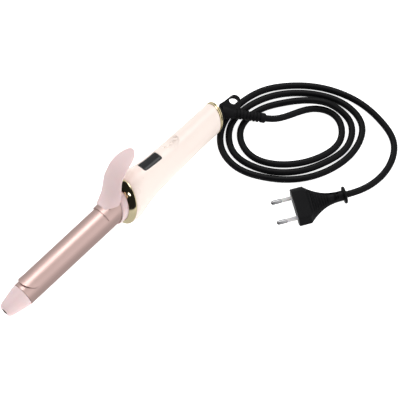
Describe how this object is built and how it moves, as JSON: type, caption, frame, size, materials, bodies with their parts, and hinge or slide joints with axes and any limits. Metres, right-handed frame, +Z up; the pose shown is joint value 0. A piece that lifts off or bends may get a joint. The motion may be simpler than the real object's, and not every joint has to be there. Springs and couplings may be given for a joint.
{
  "type": "curling iron",
  "caption": "Curling iron lying on its front ring: heated barrel with spring clamp and thumb lever, display handle with buttons, swivel hanging loop, coiled cord and plug.",
  "frame": {"origin": "under the middle of the iron (cord and plug left out), on the table it lies on", "axes": "+X runs along the iron from the cool tip to the cord end, +Z is up from the table, +Y is the side the lever leans to"},
  "size_m": [0.3634, 0.1672, 0.0589],
  "materials": {
    "barrel_metal": "rose-gold coated, satin gloss",
    "clamp_metal": "rose-gold coated, satin gloss",
    "pink_plastic": "satin pale pink",
    "cream_shell": "pearl cream gloss",
    "gold_plating": "gold plated mirror",
    "display_glass": "black glass",
    "dark_cap": "matt",
    "black_rubber": "satin",
    "cord_jacket": "satin",
    "steel": "plain",
    "brass": "plain",
    "alloy": "plain",
    "ceramic": "matt ceramic",
    "insulator": "matt",
    "board": "board green",
    "pin_sleeve": "satin"
  },
  "bodies": {
    "handle": {"barrel_tube": "barrel_metal", "cool_tip": "pink_plastic", "collar": "pink_plastic", "handle_upper": "cream_shell", "handle_lower": "cream_shell", "button_panel": "cream_shell", "front_ring": "gold_plating", "rear_ring": "gold_plating", "display_lens": "display_glass", "tip_cap": "dark_cap", "plug_body": "black_rubber", "button_pad": "black_rubber", "cord": "cord_jacket", "pivot_pin": "steel", "hinge_spring": "steel", "cover_screw_front": "steel", "cover_screw_rear": "steel", "plug_pin_left": "steel", "plug_pin_right": "steel", "heat_spreader_upper": "alloy", "heat_spreader_lower": "alloy", "ptc_heater": "ceramic", "thermal_fuse": "ceramic", "barrel_seat": "insulator", "contact_block": "insulator", "lcd_module": "board", "circuit_board": "board", "pin_sleeve_left": "pin_sleeve", "pin_sleeve_right": "pin_sleeve"},
    "clamp": {"clamp_blade": "clamp_metal", "clamp_saddle": "clamp_metal", "lever": "pink_plastic", "lever_rivet_left": "pink_plastic", "lever_rivet_right": "pink_plastic"},
    "button_up": {"button_up": "cream_shell"},
    "button_power": {"button_power": "cream_shell"},
    "button_down": {"button_down": "cream_shell"},
    "swivel": {"swivel_boot": "black_rubber", "slip_ring_front": "brass", "slip_ring_rear": "brass"}
  },
  "joints": [
    {"name": "clamp_lever", "type": "hinge", "parent": "handle", "child": "clamp", "pos_m": [-0.01034, 0.00947, 0.03187], "axis": [0, 0.891, -0.454], "range_deg": [0, 30], "stiffness_Nm_per_rad": 0.3, "springref_deg": -28.65},
    {"name": "press_up", "type": "slide", "parent": "handle", "child": "button_up", "axis": [0, -0.6293, -0.7771], "range_m": [0, 0.0006], "stiffness_N_per_m": 600, "springref_m": -0.0005},
    {"name": "press_power", "type": "slide", "parent": "handle", "child": "button_power", "axis": [0, -0.6293, -0.7771], "range_m": [0, 0.0006], "stiffness_N_per_m": 600, "springref_m": -0.0005},
    {"name": "press_down", "type": "slide", "parent": "handle", "child": "button_down", "axis": [0, -0.6293, -0.7771], "range_m": [0, 0.0006], "stiffness_N_per_m": 600, "springref_m": -0.0005},
    {"name": "cord_swivel", "type": "hinge", "parent": "handle", "child": "swivel", "pos_m": [0.10866, 0.00311, 0.0194], "axis": [-1, 0, 0], "range_deg": [0, 45]}
  ]
}
